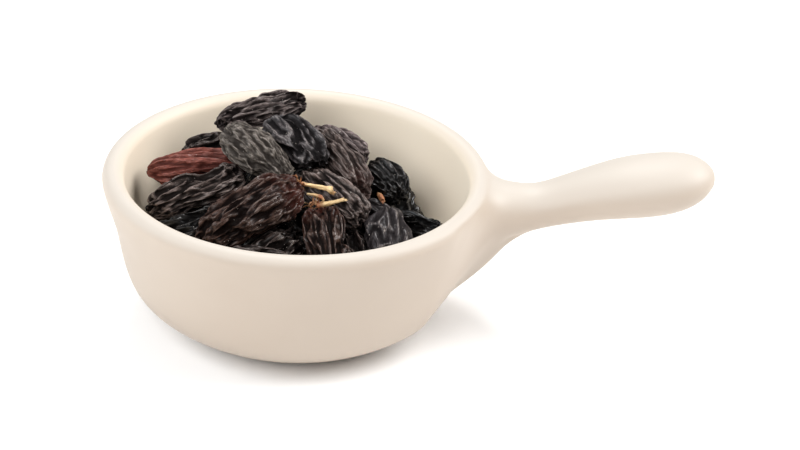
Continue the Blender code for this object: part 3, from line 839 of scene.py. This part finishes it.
# The studio: a pale table under an even sky, soft round lamps at the left, the right, the front
# and the back, and a camera that looks down into the bowl from the front.
TABLE_HALF_WIDTH, TABLE_BRIGHTNESS, SKY_STRENGTH = 1.5, 0.96, 0.38
LAMP_DISTANCE, LAMP_AIM = 1.0, 0.02
LAMPS = {
    # bearing and elevation in degrees, width in metres, power in watts, and tint
    "left_lamp": (180, 27, 0.8, 4.7, (0.85, 0.93, 1.0)),
    "right_lamp": (10, 45, 0.8, 11.4, (1, 1, 1)),
    "front_lamp": (232, 45, 0.8, 6.6, (1, 1, 1)),
    "back_lamp": (100, 58, 0.3, 3.4, (1, 1, 1)),
}

table_mesh = bmesh.new()
bmesh.ops.create_grid(table_mesh, x_segments=1, y_segments=1, size=TABLE_HALF_WIDTH)
table_data = bpy.data.meshes.new("table")
table_mesh.to_mesh(table_data)
table_mesh.free()
table = bpy.data.objects.new("table", table_data)
bpy.context.collection.objects.link(table)
white, _, sockets, _ = new_material("pale_table")
sockets["Base Color"].default_value = (TABLE_BRIGHTNESS, TABLE_BRIGHTNESS, TABLE_BRIGHTNESS, 1)
sockets["Roughness"].default_value = 0.9
table_data.materials.append(white)

for name, (bearing, elevation, width, power, tint) in LAMPS.items():
    bearing, elevation = math.radians(bearing), math.radians(elevation)
    flat = LAMP_DISTANCE * math.cos(elevation)
    light = bpy.data.lights.new(name, "AREA")
    light.shape = "DISK"
    light.size = width
    light.energy = power
    light.color = tint
    lamp = bpy.data.objects.new(name, light)
    bpy.context.collection.objects.link(lamp)
    rise = LAMP_DISTANCE * math.sin(elevation)
    lamp.location = (flat * math.cos(bearing), flat * math.sin(bearing), rise)
    lamp.rotation_mode = "QUATERNION"
    lamp.rotation_quaternion = (Vector((0, 0, LAMP_AIM)) - lamp.location).to_track_quat("-Z", "Y")

world = bpy.data.worlds.new("studio")
bpy.context.scene.world = world
world.use_nodes = True
sky = world.node_tree.nodes["Background"].inputs
sky["Color"].default_value = (1, 1, 1, 1)
sky["Strength"].default_value = SKY_STRENGTH
bpy.context.scene.view_settings.view_transform = "Standard"

# The picture is 800 by 450 pixels, and the middle of the rim shows at RIM_SPOT in it. The camera
# stands DISTANCE mm off and looks along the y axis, tilted down and rolled a little
FRAME_WIDTH, FRAME_HEIGHT = 800, 450
RIM_SPOT = (294.9, 173.4)
FOCAL_PIXELS, SENSOR_WIDTH, CLIP_START = 1800, 36, 0.01
TILT, ROLL, DISTANCE, SIGHT_HEIGHT = math.radians(28.65), math.radians(3.55), 388.7, 34.0
right = Vector((1, 0, 0))
upward = Vector((0, math.sin(TILT), math.cos(TILT)))
ahead = Vector((0, math.cos(TILT), -math.sin(TILT)))
beside = (RIM_SPOT[0] - FRAME_WIDTH / 2) * DISTANCE / FOCAL_PIXELS
below = (RIM_SPOT[1] - FRAME_HEIGHT / 2) * DISTANCE / FOCAL_PIXELS
place = Vector((0, 0, SIGHT_HEIGHT)) - beside * right + below * upward - DISTANCE * ahead
turned_right = math.cos(ROLL) * right + math.sin(ROLL) * upward
turned_upward = math.cos(ROLL) * upward - math.sin(ROLL) * right
camera = bpy.data.objects.new("camera", bpy.data.cameras.new("camera"))
bpy.context.collection.objects.link(camera)
axes = Matrix((turned_right, turned_upward, -ahead)).transposed().to_4x4()
camera.matrix_world = Matrix.Translation(place * MM) @ axes
camera.data.sensor_width = SENSOR_WIDTH
camera.data.lens = FOCAL_PIXELS * SENSOR_WIDTH / FRAME_WIDTH
camera.data.clip_start = CLIP_START
bpy.context.scene.camera = camera
